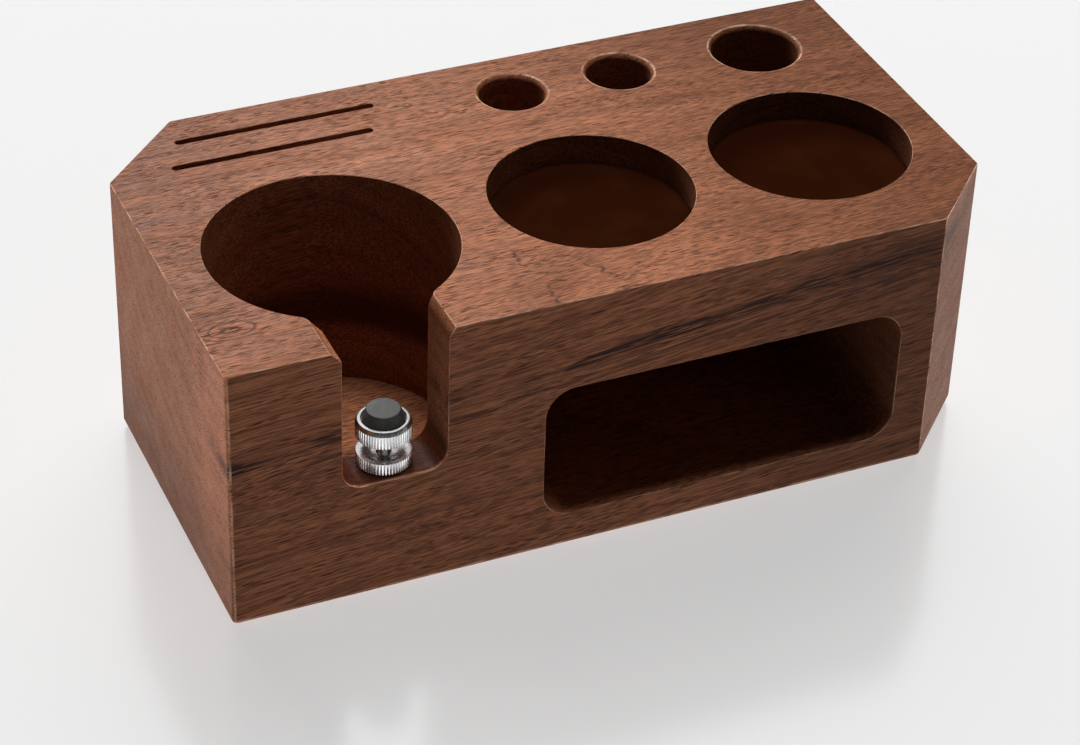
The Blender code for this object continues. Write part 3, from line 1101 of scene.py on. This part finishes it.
    def well_ring(self, z: float, halves: Point2, ease: float = 0.0) -> Ring:
        """The round of the well under the shelf, with as many points as the keyhole.

        Args:
            z: Height of the ring.
            halves: Half widths of the keyhole that it meets at the shelf.
            ease: How far the shelf's inner edge is rounded back at this height.

        Returns:
            The ring's points.
        """
        start, end = self.neck_angles(halves)
        back = arc(self.well_centre(), self.well_radius, start, end, self.well_steps)[1:-1]
        count = 2 * self.neck_steps + 4
        middle, row = self.well_centre()
        front = []
        for i in range(count):
            angle = end + (start + 2 * math.pi - end) * i / (count - 1)
            radius = self.well_radius + ease * min(1.0, i / 2, (count - 1 - i) / 2)
            front.append((middle + radius * math.cos(angle), row + radius * math.sin(angle)))
        return level(back + front, z)

    def well(self) -> Piece:
        """Cutter for the well and its neck opening: round below the shelf, and keyhole-shaped above it.

        Returns:
            The cutter.
        """
        half = self.neck_width / 2
        shelf = self.low.z + self.shelf_height
        top = self.high.z
        left, right = self.neck_chamfers
        deepest = max(self.neck_chamfers)
        foot = (half - self.shelf_fillet,) * 2
        rings = [self.well_ring(self.low.z + self.well_floor, foot)]
        for below, ease in flare(self.edge_break):
            rings.append(self.well_ring(shelf - below, foot, ease))
        for inset, height in arc((self.shelf_fillet,) * 2, self.shelf_fillet, 1.5 * math.pi, math.pi, 10):
            rings.append(self.keyhole(shelf + height, (half - inset,) * 2))
        rings.append(self.keyhole(top - deepest, (half, half)))
        for below, grow in flare(self.edge_break):
            share = 1 - below / deepest
            rings.append(self.keyhole(top - below, (half + left * share, half + right * share), grow))
        rings.append(self.keyhole(top + self.overcut, (half + left, half + right), self.edge_break))
        return loft("cut_well", rings, merge=True)

    def neck_mouth(self) -> Piece:
        """Cutter that rounds the edge between the neck opening and the front face.

        Returns:
            The cutter.
        """
        middle = self.well_centre()[0]
        half, cove = self.neck_width / 2, self.shelf_fillet
        shelf, top = self.low.z + self.shelf_height, self.high.z
        left, right = self.neck_chamfers
        slope = top - max(self.neck_chamfers)
        stations = [(self.edge_break + 0.3 * MM, -0.05 * MM), *flare(self.edge_break)[1:]]
        stations.append((-self.overcut, self.edge_break))
        rings = []
        for behind, grow in stations:
            section = (
                (-half - grow, shelf - grow, cove + grow),
                (half + grow, shelf - grow, cove + grow),
                (half + grow, slope, 0.0),
                (half + right + grow, top, 0.0),
                (half + right + grow, top + self.overcut, 0.0),
                (-half - left - grow, top + self.overcut, 0.0),
                (-half - left - grow, top, 0.0),
                (-half - grow, slope, 0.0),
            )
            y = self.low.y + behind
            rings.append([Vector((middle + x, y, z)) for x, z in rounded(section, 10)])
        return loft("cut_neck_mouth", rings)

    def round_cuts(self) -> list[Piece]:
        """Cutters for everything that is bored or turned: recesses, tool holes, foot pockets and stud hole.

        Each is described by its name, its profile from the floor up, its axis, its floor and its facets.

        Returns:
            The cutters.
        """
        table = []
        for side in ("left", "right"):
            liner = round_of("tamper_liner_" + side)
            floor = liner.base - self.liner_gap
            profile = rim(liner.radius + self.liner_gap, self.high.z - floor, self.rim_break, self.overcut)
            table.append(("recess_" + side, profile, liner.axis, floor, self.recess_facets))
        names = ("bore_left", "bore_middle", "bore_right")
        for name, radius, depth in zip(names, self.bore_radii, self.bore_depths):
            low, high = opening(name)
            centre = ((low.x + high.x) / 2, (low.y + high.y) / 2)
            profile = rim(radius, depth, self.rim_round, self.overcut, 10)
            table.append((name, profile, centre, self.high.z - depth, self.bore_facets))
        for name in FOOT_NAMES:
            foot = round_of(name)
            radius = foot.radius + self.foot_gap
            profile = [(radius, -self.overcut), (radius, foot.top + self.foot_gap)]
            table.append((name, profile, foot.axis, 0.0, self.foot_facets))
        stud, insert = round_of("support_stud"), round_of("threaded_insert")
        clear, wide = stud.radius + self.stud_gap, insert.radius + self.foot_gap
        step = insert.base - self.foot_gap
        shelf = self.low.z + self.shelf_height
        profile = [(clear, stud.base - self.overcut), (clear, step), (wide, step)]
        profile.append((wide, shelf + self.overcut))
        table.append(("rest_bore", profile, stud.axis, 0.0, self.stud_facets))
        return [turned("cut_" + name, *shape) for name, *shape in table]

    def slots(self) -> list[Piece]:
        """Cutters for the two card slots.

        Returns:
            The cutters.
        """
        cutters = []
        radius = self.slot_width / 2
        for number, start in enumerate(self.slot_starts):
            y = self.high.y - self.slot_from_back - number * self.slot_spacing
            left = self.low.x + start + radius
            right = left + self.slot_length - 2 * radius
            rings = []
            stations = [(self.slot_depth, 0.0), *flare(self.slot_break), (-self.overcut, self.slot_break)]
            for below, grow in stations:
                outline = arc((right, y), radius + grow, -math.pi / 2, math.pi / 2, 12)
                outline += arc((left, y), radius + grow, math.pi / 2, 1.5 * math.pi, 12)
                rings.append(level(outline, self.high.z - below))
            cutters.append(loft(f"cut_slot_{number}", rings))
        return cutters

    def bay(self) -> Piece:
        """Cutter for the storage bay in the front face.

        Returns:
            The cutter.
        """
        left, right, bottom, top = self.bay_mouth
        rings = []
        stations = [(self.bay_depth, 0.0), *flare(self.edge_break), (-self.overcut, self.edge_break)]
        for behind, grow in stations:
            corners = (
                (left - grow, bottom - grow, self.bay_corner + grow),
                (right + grow, bottom - grow, self.bay_corner + grow),
                (right + grow, top + grow, self.bay_corner + grow),
                (left - grow, top + grow, self.bay_corner + grow),
            )
            rings.append([self.low + Vector((x, behind, z)) for x, z in rounded(corners, 14)])
        return loft("cut_bay", rings)


@dataclass
class TamperLiners:
    """The thin leather discs on the floors of the tamper recesses."""

    edge: float = 0.5 * MM
    foot_edge: float = 0.1 * MM
    facets: int = 160

    def build(self) -> dict[str, Piece]:
        """Turns both discs.

        Returns:
            Each disc by the name of its node.
        """
        discs = {}
        for node in ("tamper_liner_left", "tamper_liner_right"):
            disc = round_of(node)
            corners = [
                (0.4 * disc.radius, 0.0, 0.0),
                (disc.radius, 0.0, self.foot_edge),
                (disc.radius, disc.height, self.edge),
                (0.4 * disc.radius, disc.height, 0.0),
            ]
            name = node.replace("tamper_liner", "leather_disc")
            profile = rounded(corners, closed=False)
            discs[node] = smooth(turned(name, profile, disc.axis, disc.base, self.facets))
        return discs


@dataclass
class Feet:
    """Four moulded rubber feet with a shallow dish under each."""

    edge: float = 0.5 * MM
    dish_radius: float = 5.0 * MM
    dish_depth: float = 0.4 * MM
    facets: int = 72

    def build(self) -> dict[str, Piece]:
        """Turns all four.

        Returns:
            Each foot by the name of its node.
        """
        feet = {}
        for node in FOOT_NAMES:
            foot = round_of(node)
            dish = self.dish_radius
            corners = [
                (0.3 * dish, self.dish_depth, 0.0),
                (dish, self.dish_depth, 0.3 * MM),
                (dish + self.dish_depth, 0.0, 0.2 * MM),
                (foot.radius, 0.0, self.edge),
                (foot.radius, foot.height, 0.2 * MM),
                (0.3 * dish, foot.height, 0.0),
            ]
            profile = rounded(corners, closed=False)
            feet[node] = smooth(turned("rubber_" + node, profile, foot.axis, foot.base, self.facets))
        return feet


@dataclass
class AdjustableRest:
    """The screw, its knurled head and pad, and the nut that locks it."""

    knurl: Knurl = field(default_factory=Knurl)
    edge: float = 0.3 * MM
    pitch: float = 0.7 * MM
    thread_depth: float = 0.36 * MM
    foot_lead: float = 1.2 * MM
    head_lead: float = 0.5 * MM
    end_taper: float = 0.45 * MM
    nut_dish: Point2 = (6.7 * MM, 1.0 * MM)
    nut_hub: float = 3.0 * MM
    bore: float = 2.2 * MM
    washer_recess: Point2 = (6.3 * MM, 0.8 * MM)
    head_top: float = 7.2 * MM
    head_band: float = 1.3 * MM
    head_seat: Point2 = (6.4 * MM, 2.0 * MM)
    head_socket: Point2 = (2.2 * MM, 2.6 * MM)
    pad_top: float = 4.8 * MM
    pad_lip: float = 1.7 * MM
    bowl_steps: int = 8
    stud_facets: int = 40
    thread_steps: int = 10
    pad_facets: int = 96
    axis: Point2 = field(default_factory=lambda: round_of("support_head").axis)

    def head(self) -> Piece:
        """The knurled head with its polished bevel and the seat for the pad.

        Returns:
            The head.
        """
        box = round_of("support_head")
        radius, height = box.radius, box.height
        seat, depth = self.head_seat
        socket, reach = self.head_socket
        shoulder = height - self.head_band
        profile = [
            (0.3 * socket, reach, 0.0),
            (socket, reach, 0.0),
            (socket, 0.0, 0.0),
            (0.75 * radius, 0.0, 0.0),
            (radius - self.edge, 0.0, 0.4),
            (radius, self.edge, 1.0),
            (radius, shoulder - 0.15 * MM, 1.0),
            (radius - 0.05 * MM, shoulder, 0.0),
            (self.head_top + 0.12 * MM, height - 0.1 * MM, 0.0),
            (self.head_top - 0.1 * MM, height, 0.0),
            (seat + 0.12 * MM, height, 0.0),
            (seat, height - 0.12 * MM, 0.0),
            (seat, height - depth, 0.0),
            (0.3 * seat, height - depth, 0.0),
        ]
        return smooth(turned("knurled_head", profile, self.axis, box.base, self.knurl))

    def nut(self) -> Piece:
        """The knurled nut with its dished, polished top.

        Returns:
            The nut.
        """
        box = round_of("lock_nut")
        radius, height = box.radius, box.height
        dish, depth = self.nut_dish
        recess, recess_depth = self.washer_recess
        bowl = []
        for step in range(self.bowl_steps + 1):
            share = step / self.bowl_steps
            ease = share * share * (3 - 2 * share)
            bowl.append((dish + (self.nut_hub - dish) * share, height - depth * ease, 0.0))
        profile = [
            (self.bore, recess_depth, 0.0),
            (recess, recess_depth, 0.0),
            (recess, 0.0, 0.0),
            (radius - self.edge, 0.0, 0.4),
            (radius, self.edge, 1.0),
            (radius, height - self.edge, 1.0),
            (radius - 0.25 * self.edge, height - 0.25 * self.edge, 0.3),
            (radius - 0.8 * self.edge, height, 0.0),
            (dish + 0.1 * MM, height, 0.0),
            *bowl,
            (self.bore, height - depth, 0.0),
        ]
        return smooth(turned("knurled_nut", profile, self.axis, box.base, self.knurl, hollow=True))

    def stud(self) -> Piece:
        """The threaded stud, cut with a real helix.

        Returns:
            The stud.
        """
        box = round_of("support_stud")
        length = box.height
        rows = int(length / self.pitch * self.thread_steps)
        rings = []
        for row in range(rows + 1):
            z = length * row / rows
            taper = min(1.0, z / self.foot_lead, (length - z) / self.head_lead)
            ring = []
            for step in range(self.stud_facets):
                turn = step / self.stud_facets
                phase = (z / self.pitch - turn) % 1.0
                groove = 1.0 - abs(2.0 * phase - 1.0)
                cut_depth = self.thread_depth * min(1.0, max(0.0, 1.25 * groove - 0.12))
                reach = box.radius - cut_depth - self.end_taper * (1.0 - max(0.0, taper))
                ring.append(around(self.axis, reach, 2 * math.pi * turn, box.base + z))
            rings.append(ring)
        return smooth(loft("threaded_stud", rings), 50.0)

    def pad(self) -> Piece:
        """The rubber pad: a low cone with rounded edges.

        Returns:
            The pad.
        """
        box = round_of("support_pad")
        radius, height = box.radius, box.height
        corners = [
            (0.3 * radius, 0.0, 0.0),
            (radius, 0.0, 0.2 * MM),
            (radius, self.pad_lip, 0.25 * MM),
            (self.pad_top, height, 0.45 * MM),
            (0.35 * self.pad_top, height, 0.0),
        ]
        profile = rounded(corners, closed=False)
        return smooth(turned("rubber_pad", profile, self.axis, box.base, self.pad_facets))


class Source(Enum):
    """Kinds of lamp, by Blender's names: one so far off that it is even, and a soft box close by."""

    FAR = "SUN"
    BOX = "AREA"


@dataclass(frozen=True)
class Lamp:
    """A soft lamp, by its direction from the block in degrees."""

    name: str
    source: Source
    azimuth: float
    elevation: float
    strength: float
    spread: float = 30.0
    distance: float = 1.3
    size: Point2 = (0.9, 0.6)
    shadow: bool = True
    lights_only: tuple[str, ...] = ()
    spares: tuple[str, ...] = ()
    shadows_of: tuple[str, ...] = ()

    def hang(self) -> None:
        """Hangs the lamp so that it shines at the block, and says which pieces it lights."""
        light = bpy.data.lights.new("lamp_" + self.name, self.source.value)
        light.energy = self.strength
        light.use_shadow = self.shadow
        if self.source is Source.FAR:
            light.angle = math.radians(self.spread)
        else:
            light.shape = "RECTANGLE"
            light.size, light.size_y = self.size
        lamp = bpy.data.objects.new("lamp_" + self.name, light)
        away = heading(self.azimuth, self.elevation)
        lamp.rotation_euler = away.to_track_quat("Z", "Y").to_euler()
        lamp.location = away * self.distance
        bpy.context.scene.collection.objects.link(lamp)
        links = lamp.light_linking
        if self.lights_only:
            links.receiver_collection = linked("lit_by_" + self.name, self.lights_only, "INCLUDE")
        elif self.spares:
            links.receiver_collection = linked("lit_by_" + self.name, self.spares, "EXCLUDE")
        if self.shadows_of:
            links.blocker_collection = linked("shadows_from_" + self.name, self.shadows_of, "INCLUDE")


def linked(name: str, members: Sequence[str], state: str) -> bpy.types.Collection:
    """A collection that tells a lamp which pieces it takes in or leaves out.

    Args:
        name: Name of the collection.
        members: Names of the pieces.
        state: INCLUDE or EXCLUDE.

    Returns:
        The collection.
    """
    collection = bpy.data.collections.new(name)
    for member in members:
        collection.objects.link(bpy.data.objects[member])
    for entry in collection.collection_objects:
        entry.light_linking.link_state = state
    return collection


STUDIO_LAMPS = (
    Lamp("over", Source.FAR, 40.0, 84.0, 2.3, spread=20.0, spares=BOARD + METAL),
    Lamp("behind", Source.BOX, 0.0, 38.0, 13.0, size=(0.8, 0.5), spares=BOARD + METAL),
    Lamp("left", Source.BOX, -77.0, 2.6, 7.5, distance=1.1, size=(0.5, 0.09), spares=BOARD + METAL),
    Lamp("right", Source.BOX, 87.0, 2.4, 12.0, distance=1.2, size=(0.6, 0.09), spares=BOARD + METAL),
    Lamp("board_over", Source.FAR, 40.0, 84.0, 3.4, spread=30.0, shadow=False, lights_only=BOARD),
    Lamp("board_back", Source.FAR, 24.0, 37.0, 1.35, spread=60.0, lights_only=BOARD),
    Lamp("metal_back", Source.FAR, 20.0, 44.0, 1.0, spread=76.0, lights_only=METAL, shadows_of=METAL),
    Lamp(
        "metal_front",
        Source.BOX,
        205.0,
        -22.0,
        1.0,
        distance=0.5,
        size=(0.3, 0.3),
        lights_only=METAL,
        shadows_of=METAL,
    ),
)


@dataclass
class Studio:
    """The board, the lights and the camera."""

    floor_size: float = 8.0
    aim: Vector = field(default_factory=lambda: Vector((0.0080, 0.0174, 0.0)))
    distance: float = 0.9836
    azimuth: float = 24.38
    elevation: float = 35.71
    roll: float = 1.953
    lens: float = 106.0
    air: float = 0.03
    lamps: tuple[Lamp, ...] = STUDIO_LAMPS

    def lay_floor(self) -> None:
        """Lays the board under the block."""
        mesh = bpy.data.meshes.new("studio_board")
        half = self.floor_size / 2
        shape = bmesh.new()
        corners = ((-half, -half), (half, -half), (half, half), (-half, half))
        shape.faces.new([shape.verts.new((x, y, 0.0)) for x, y in corners])
        shape.to_mesh(mesh)
        shape.free()
        board = bpy.data.objects.new("studio_board", mesh)
        bpy.context.scene.collection.objects.link(board)
        board.data.materials.append(StudioBoard().material())

    def hang_lights(self) -> None:
        """Hangs the lamps and sets the faint light of the room."""
        for lamp in self.lamps:
            lamp.hang()
        world = bpy.data.worlds.new("studio_air")
        world.use_nodes = True
        background = world.node_tree.nodes["Background"]
        background.inputs["Color"].default_value = (1.0, 1.0, 1.0, 1.0)
        background.inputs["Strength"].default_value = self.air
        bpy.context.scene.world = world
        bpy.context.scene.view_settings.view_transform = "Standard"

    def set_camera(self) -> None:
        """Stands the camera in front, to the left and above."""
        look = -heading(self.azimuth + 180.0, self.elevation)
        side = Vector((math.cos(math.radians(self.azimuth)), -math.sin(math.radians(self.azimuth)), 0.0))
        up = side.cross(look)
        lean = math.radians(self.roll)
        right = side * math.cos(lean) + up * math.sin(lean)
        top = up * math.cos(lean) - side * math.sin(lean)
        data = bpy.data.cameras.new("camera")
        data.lens = self.lens
        data.sensor_width = 36.0
        camera = bpy.data.objects.new("camera", data)
        turn = Matrix((right, top, -look)).transposed().to_4x4()
        camera.matrix_world = Matrix.Translation(self.aim - look * self.distance) @ turn
        bpy.context.scene.collection.objects.link(camera)
        bpy.context.scene.camera = camera


def heading(azimuth: float, elevation: float) -> Vector:
    """A direction as a unit vector: degrees to the right of straight back, and degrees up."""
    a, e = math.radians(azimuth), math.radians(elevation)
    return Vector((math.sin(a) * math.cos(e), math.cos(a) * math.cos(e), math.sin(e)))


def main() -> None:
    """Builds and dresses the station, one sub-assembly after another."""
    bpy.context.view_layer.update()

    walnut = Walnut().material()
    block = WalnutBlock().build()
    dress(block, walnut, "walnut", "block", "wood_block")
    log.info("block: %d vertices", len(block.data.vertices))

    leather = Liner().material()
    for node, disc in TamperLiners().build().items():
        dress(disc, leather, "liner", "block", node)
        log.info("liner: %s", disc.name)

    foot_rubber = Rubber("foot_rubber", (0.018, 0.018, 0.018), (0.035, 0.034, 0.033), 0.7).material()
    for node, foot in Feet().build().items():
        dress(foot, foot_rubber, "foot_rubber", "block", node)
        log.info("foot: %s", foot.name)

    rest = AdjustableRest()
    chrome = TurnedMetal("chrome_turned", (0.86, 0.86, 0.87), Turning.POLISHED, rest.axis).material()
    steel = TurnedMetal("steel_turned", (0.62, 0.61, 0.60), Turning.FINE, rest.axis).material()
    brass = TurnedMetal("brass_machined", (0.72, 0.50, 0.22), Turning.MACHINED, rest.axis).material()
    pad_rubber = Rubber("pad_rubber", (0.035, 0.034, 0.033), (0.055, 0.053, 0.050), 0.6).material()
    dress(rest.head(), chrome, "chrome", "rest_screw", "support_head")
    dress(rest.stud(), steel, "steel", "rest_screw", "support_stud")
    dress(rest.pad(), pad_rubber, "pad_rubber", "rest_lift", "support_pad")
    dress(rest.nut(), chrome, "chrome", "nut_turn", "lock_nut")
    for node, metal in (("lock_washer", steel), ("threaded_insert", brass)):
        kept = frame["nodes"][node].data.materials
        kept.clear()
        kept.append(metal)
    log.info("rest: head, stud, pad and nut; washer and insert kept from the frame")

    studio = Studio()
    studio.lay_floor()
    studio.hang_lights()
    studio.set_camera()
    log.info("studio: board, lights and camera")


if __name__ == "__main__":
    logging.basicConfig(level=logging.INFO, format="%(name)s %(message)s")
    main()
